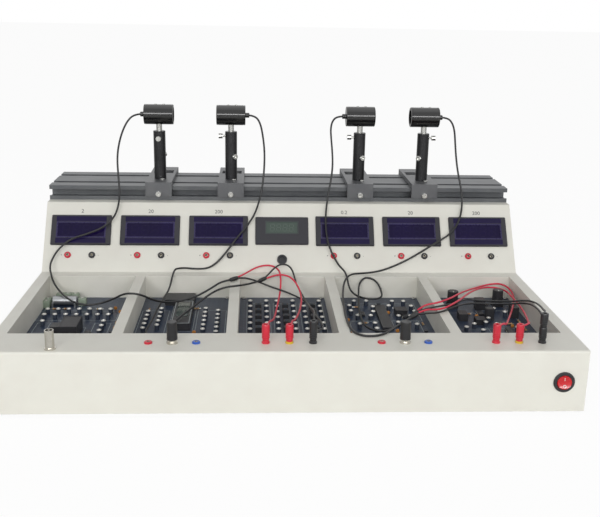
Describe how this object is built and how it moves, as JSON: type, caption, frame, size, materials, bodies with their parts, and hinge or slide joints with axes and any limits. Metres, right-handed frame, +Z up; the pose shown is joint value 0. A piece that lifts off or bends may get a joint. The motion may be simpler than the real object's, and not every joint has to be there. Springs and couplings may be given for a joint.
{
  "type": "photoelectric sensor trainer",
  "caption": "Bench trainer for photoelectric sensors: sloped cabinet with panel meters, sunken circuit boards, and sensor heads on posts that slide along a top rail.",
  "frame": {"origin": "centre of the underside of the bounding box without the loose leads, on the surface that the feet stand on", "axes": "+X to the right along the front, +Y from the front to the back, +Z up"},
  "size_m": [0.64, 0.471, 0.2853],
  "materials": {
    "cabinet_paint": "satin",
    "rail_grey": "anodised",
    "post_black": "satin",
    "head_black": "gloss",
    "bright_steel": "polished",
    "bright_nickel": "polished",
    "brass": "plain",
    "foot_rubber": "matte",
    "board_white": "satin",
    "dark_plastic": "satin",
    "window_tint": "gloss",
    "red_plastic": "gloss",
    "black_plastic": "gloss",
    "blue_plastic": "gloss",
    "yellow_plastic": "gloss",
    "plated_steel": "plain",
    "cable_black": "satin",
    "cable_red": "satin"
  },
  "bodies": {
    "console": {"console_body": "cabinet_paint", "bottom_plate": "cabinet_paint", "rear_panel": "cabinet_paint", "well_frames": "cabinet_paint", "slide_rail": "rail_grey", "case_screws": "bright_steel", "metal_module": "bright_steel", "coax_sockets": "bright_nickel", "board_pillars": "brass", "rubber_feet": "foot_rubber", "circuit_boards": "board_white", "test_points": "board_white", "component_blocks": "dark_plastic", "meter_housings": "dark_plastic", "switch_bezel": "dark_plastic", "power_inlet": "dark_plastic", "coax_caps": "dark_plastic", "probe_socket": "dark_plastic", "meter_windows": "window_tint", "jacks_red": "red_plastic", "red_plugs": "red_plastic", "jacks_black": "black_plastic", "black_plugs": "black_plastic", "cord_splitters": "black_plastic", "jacks_blue": "blue_plastic", "jacks_yellow": "yellow_plastic", "power_supply": "plated_steel", "sensor_cord_1": "cable_black", "sensor_cord_2": "cable_black", "sensor_cord_3": "cable_black", "sensor_cord_4": "cable_black", "black_leads": "cable_black", "red_leads": "cable_red"},
    "carriage_1": {"carriage_1": "rail_grey", "post_1": "post_black", "carriage_screws_1": "bright_steel"},
    "rod_1": {"rod_1": "bright_steel"},
    "head_1": {"barrel_1": "head_black"},
    "lock_screw_1": {"lock_screw_1": "bright_steel"},
    "carriage_2": {"carriage_2": "rail_grey", "post_2": "post_black", "carriage_screws_2": "bright_steel"},
    "rod_2": {"rod_2": "bright_steel"},
    "head_2": {"barrel_2": "head_black"},
    "lock_screw_2": {"lock_screw_2": "bright_steel"},
    "carriage_3": {"carriage_3": "rail_grey", "post_3": "post_black", "carriage_screws_3": "bright_steel"},
    "rod_3": {"rod_3": "bright_steel"},
    "head_3": {"barrel_3": "head_black"},
    "lock_screw_3": {"lock_screw_3": "bright_steel"},
    "carriage_4": {"carriage_4": "rail_grey", "post_4": "post_black", "carriage_screws_4": "bright_steel"},
    "rod_4": {"rod_4": "bright_steel"},
    "head_4": {"barrel_4": "head_black"},
    "lock_screw_4": {"lock_screw_4": "bright_steel"},
    "trim_knob_left": {"trim_knob_left": "dark_plastic"},
    "trim_knob_right": {"trim_knob_right": "dark_plastic"},
    "power_rocker": {"power_rocker": "red_plastic"}
  },
  "joints": [
    {"name": "carriage_1_slide", "type": "slide", "parent": "console", "child": "carriage_1", "axis": [1, 0, 0], "range_m": [-0.13, 0.024], "deforming": ["sensor_cord_1"]},
    {"name": "rod_1_lift", "type": "slide", "parent": "carriage_1", "child": "rod_1", "axis": [0, 0, 1], "range_m": [-0.008, 0.03], "deforming": ["sensor_cord_1"]},
    {"name": "head_1_turn", "type": "hinge", "parent": "rod_1", "child": "head_1", "pos_m": [-0.17, 0.14818, 0.27155], "axis": [0, 0, 1], "range_deg": [-90, 90], "deforming": ["sensor_cord_1"]},
    {"name": "lock_screw_1_turn", "type": "hinge", "parent": "carriage_1", "child": "lock_screw_1", "pos_m": [-0.17, 0.13988, 0.2398], "axis": [0, -1, 0], "range_deg": [0, 180]},
    {"name": "carriage_2_slide", "type": "slide", "parent": "console", "child": "carriage_2", "axis": [1, 0, 0], "range_m": [-0.024, 0.06], "deforming": ["sensor_cord_2"]},
    {"name": "rod_2_lift", "type": "slide", "parent": "carriage_2", "child": "rod_2", "axis": [0, 0, 1], "range_m": [-0.008, 0.03], "deforming": ["sensor_cord_2"]},
    {"name": "head_2_turn", "type": "hinge", "parent": "rod_2", "child": "head_2", "pos_m": [-0.0705, 0.14818, 0.27155], "axis": [0, 0, 1], "range_deg": [-90, 90], "deforming": ["sensor_cord_2"]},
    {"name": "lock_screw_2_turn", "type": "hinge", "parent": "carriage_2", "child": "lock_screw_2", "pos_m": [-0.0788, 0.14818, 0.2425], "axis": [-1, 0, 0], "range_deg": [0, 180]},
    {"name": "carriage_3_slide", "type": "slide", "parent": "console", "child": "carriage_3", "axis": [1, 0, 0], "range_m": [-0.06, 0.02], "deforming": ["sensor_cord_3"]},
    {"name": "rod_3_lift", "type": "slide", "parent": "carriage_3", "child": "rod_3", "axis": [0, 0, 1], "range_m": [-0.008, 0.03], "deforming": ["sensor_cord_3"]},
    {"name": "head_3_turn", "type": "hinge", "parent": "rod_3", "child": "head_3", "pos_m": [0.11, 0.14818, 0.27155], "axis": [0, 0, 1], "range_deg": [-90, 90], "deforming": ["sensor_cord_3"]},
    {"name": "lock_screw_3_turn", "type": "hinge", "parent": "carriage_3", "child": "lock_screw_3", "pos_m": [0.1017, 0.14818, 0.2425], "axis": [-1, 0, 0], "range_deg": [0, 180]},
    {"name": "carriage_4_slide", "type": "slide", "parent": "console", "child": "carriage_4", "axis": [1, 0, 0], "range_m": [-0.02, 0.1], "deforming": ["sensor_cord_4"]},
    {"name": "rod_4_lift", "type": "slide", "parent": "carriage_4", "child": "rod_4", "axis": [0, 0, 1], "range_m": [-0.008, 0.03], "deforming": ["sensor_cord_4"]},
    {"name": "head_4_turn", "type": "hinge", "parent": "rod_4", "child": "head_4", "pos_m": [0.2005, 0.14818, 0.27155], "axis": [0, 0, 1], "range_deg": [-90, 90], "deforming": ["sensor_cord_4"]},
    {"name": "lock_screw_4_turn", "type": "hinge", "parent": "carriage_4", "child": "lock_screw_4", "pos_m": [0.2088, 0.14818, 0.2425], "axis": [1, 0, 0], "range_deg": [0, 180]},
    {"name": "trim_knob_left_turn", "type": "hinge", "parent": "console", "child": "trim_knob_left", "pos_m": [0.2218, -0.00382, 0.0502], "axis": [0, 0, 1], "range_deg": [0, 270]},
    {"name": "trim_knob_right_turn", "type": "hinge", "parent": "console", "child": "trim_knob_right", "pos_m": [0.2828, 0.00118, 0.0502], "axis": [0, 0, 1], "range_deg": [0, 270]},
    {"name": "power_rocker_rock", "type": "hinge", "parent": "console", "child": "power_rocker", "pos_m": [0.2946, -0.23032, 0.0373], "axis": [1, 0, 0], "range_deg": [0, 16]}
  ]
}
